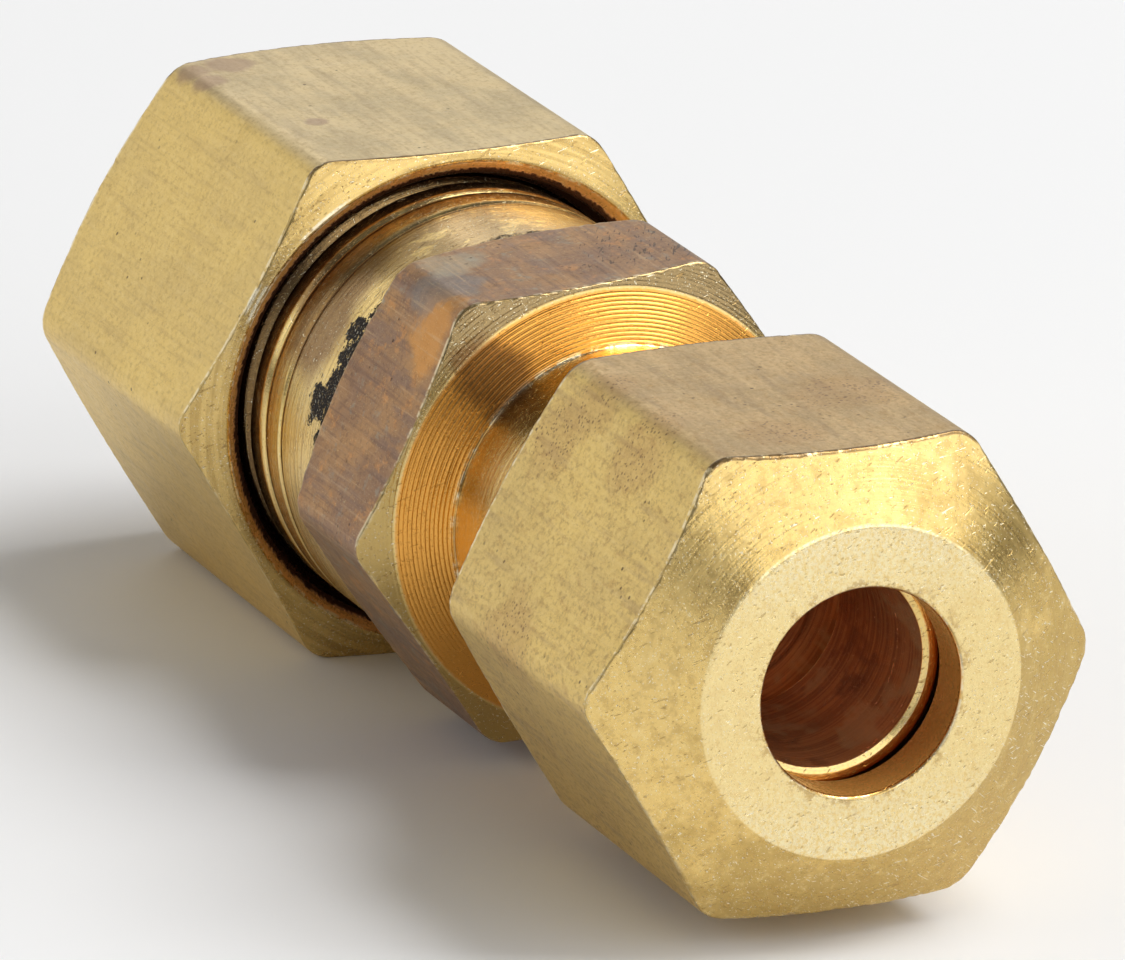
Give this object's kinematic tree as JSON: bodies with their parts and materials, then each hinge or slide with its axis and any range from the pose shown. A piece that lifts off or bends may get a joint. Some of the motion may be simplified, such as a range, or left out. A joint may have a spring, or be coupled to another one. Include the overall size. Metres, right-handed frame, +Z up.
{
  "type": "compression fitting",
  "caption": "Straight reducing compression union: hexagonal brass body with a threaded stub each end, coupling nuts and loose sleeves for unequal tubes.",
  "frame": {"origin": "on the fitting's axis, halfway between the outer faces of the two nuts in the rest pose", "axes": "+X along the fitting's axis, out of the end for the smaller tube; +Z up, square to the top flat of both nuts"},
  "size_m": [0.0352, 0.0144, 0.0126],
  "materials": {
    "body_brass": "drawn hexagon stock, tarnished mauve brown, with bright turned faces and threads",
    "large_nut_brass": "satin drawn hexagon stock with bright turned ends",
    "small_nut_brass": "satin drawn hexagon stock, speckled, with bright turned nose",
    "sleeve_brass": "smooth turned brass"
  },
  "bodies": {
    "union_body": {"union_body": "body_brass"},
    "large_sleeve": {"large_sleeve": "sleeve_brass"},
    "small_sleeve": {"small_sleeve": "sleeve_brass"},
    "large_nut": {"large_nut": "large_nut_brass"},
    "small_nut": {"small_nut": "small_nut_brass"}
  },
  "joints": [
    {"name": "large_sleeve_travel", "type": "slide", "parent": "union_body", "child": "large_sleeve", "axis": [-1, 0, 0], "range_m": [-0.00071, 0.00265]},
    {"name": "large_nut_turn", "type": "hinge", "parent": "large_sleeve", "child": "large_nut", "pos_m": [-0.01185, 0, 0], "axis": [-1, 0, 0], "range_deg": [-240, 900]},
    {"name": "small_sleeve_travel", "type": "slide", "parent": "union_body", "child": "small_sleeve", "axis": [1, 0, 0], "range_m": [-0.00071, 0.00265]},
    {"name": "small_nut_turn", "type": "hinge", "parent": "small_sleeve", "child": "small_nut", "pos_m": [0.01268, 0, 0], "axis": [1, 0, 0], "range_deg": [-240, 900]}
  ],
  "couplings": [
    {"joint": "large_sleeve_travel", "follows": "large_nut_turn", "m_per_rad": 0.00016844},
    {"joint": "small_sleeve_travel", "follows": "small_nut_turn", "m_per_rad": 0.00016844}
  ]
}
